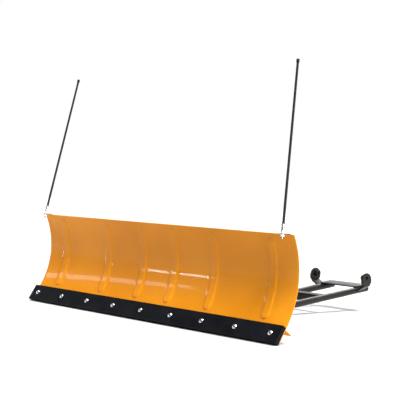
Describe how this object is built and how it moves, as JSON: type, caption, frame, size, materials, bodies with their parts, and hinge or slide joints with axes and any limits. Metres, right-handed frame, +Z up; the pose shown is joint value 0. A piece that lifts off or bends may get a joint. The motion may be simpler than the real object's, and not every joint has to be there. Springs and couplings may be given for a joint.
{
  "type": "atv plow blade",
  "caption": "Curved steel snow blade with a bolted rubber wear bar, guide markers, a spring trip pivot and a swivelling two-tube push frame for a quad bike.",
  "frame": {"origin": "centre of the bounding box's bottom face, on the ground under the push frame", "axes": "+X along the blade to the right seen from the front with +Y away, +Y from the blade to the vehicle, +Z up"},
  "size_m": [1.524, 1.404, 1.0465],
  "materials": {
    "orange_paint": "gloss powder coat, orange-yellow, slightly uneven",
    "black_rubber": "moulded black rubber, satin",
    "black_paint": "semi-gloss black powder coat",
    "marker_rod": "black fibreglass rod",
    "zinc": "bright zinc plate",
    "spring_steel": "dark oiled spring steel"
  },
  "bodies": {
    "push_frame": {"lower_king_plate": "black_paint", "upper_king_plate": "black_paint", "kingpin": "zinc", "kingpin_nut": "zinc", "clamp_bolt": "zinc", "clamp_spacer": "zinc", "lift_loop": "black_paint", "cross_member": "black_paint", "rear_plate": "black_paint", "left_push_tube": "black_paint", "left_side_plate": "black_paint", "left_ear": "black_paint", "right_push_tube": "black_paint", "right_side_plate": "black_paint", "right_ear": "black_paint"},
    "swivel_frame": {"swivel_plate": "black_paint", "swivel_cross_tube": "black_paint", "stop_bar": "black_paint", "left_swivel_arm": "black_paint", "left_hinge_lug": "black_paint", "left_trip_pin": "zinc", "left_trip_spring": "spring_steel", "right_swivel_arm": "black_paint", "right_hinge_lug": "black_paint", "right_trip_pin": "zinc", "right_trip_spring": "spring_steel"},
    "blade": {"moldboard": "orange_paint", "wear_bar": "black_rubber", "wear_bar_bolt_1": "zinc", "wear_bar_bolt_2": "zinc", "wear_bar_bolt_3": "zinc", "wear_bar_bolt_4": "zinc", "wear_bar_bolt_5": "zinc", "wear_bar_bolt_6": "zinc", "wear_bar_bolt_7": "zinc", "wear_bar_bolt_8": "zinc", "wear_bar_bolt_9": "zinc", "wear_bar_nut_1": "zinc", "wear_bar_nut_2": "zinc", "wear_bar_nut_3": "zinc", "wear_bar_nut_4": "zinc", "wear_bar_nut_5": "zinc", "wear_bar_nut_6": "zinc", "wear_bar_nut_7": "zinc", "wear_bar_nut_8": "zinc", "wear_bar_nut_9": "zinc", "bottom_flange": "orange_paint", "top_flange": "orange_paint", "left_hinge_gusset": "orange_paint", "left_outer_gusset": "orange_paint", "left_marker_bracket": "zinc", "left_marker_socket": "zinc", "left_marker_rod": "marker_rod", "right_hinge_gusset": "orange_paint", "right_outer_gusset": "orange_paint", "right_marker_bracket": "zinc", "right_marker_socket": "zinc", "right_marker_rod": "marker_rod"},
    "clamp_handle": {"clamp_handle": "black_paint"}
  },
  "joints": [
    {"name": "blade_angle", "type": "hinge", "parent": "push_frame", "child": "swivel_frame", "pos_m": [0, -0.13088, 0.034], "axis": [0, 0, 1], "range_deg": [-30, 30]},
    {"name": "blade_trip", "type": "hinge", "parent": "swivel_frame", "child": "blade", "pos_m": [0, -0.56588, 0.095], "axis": [1, 0, 0], "range_deg": [0, 30], "stiffness_Nm_per_rad": 60, "springref_deg": -20.05, "deforming": ["left_trip_spring", "right_trip_spring"]},
    {"name": "clamp_turn", "type": "hinge", "parent": "push_frame", "child": "clamp_handle", "pos_m": [0, -0.04888, 0.062], "axis": [0, 0, 1], "range_deg": [0, 180]}
  ]
}
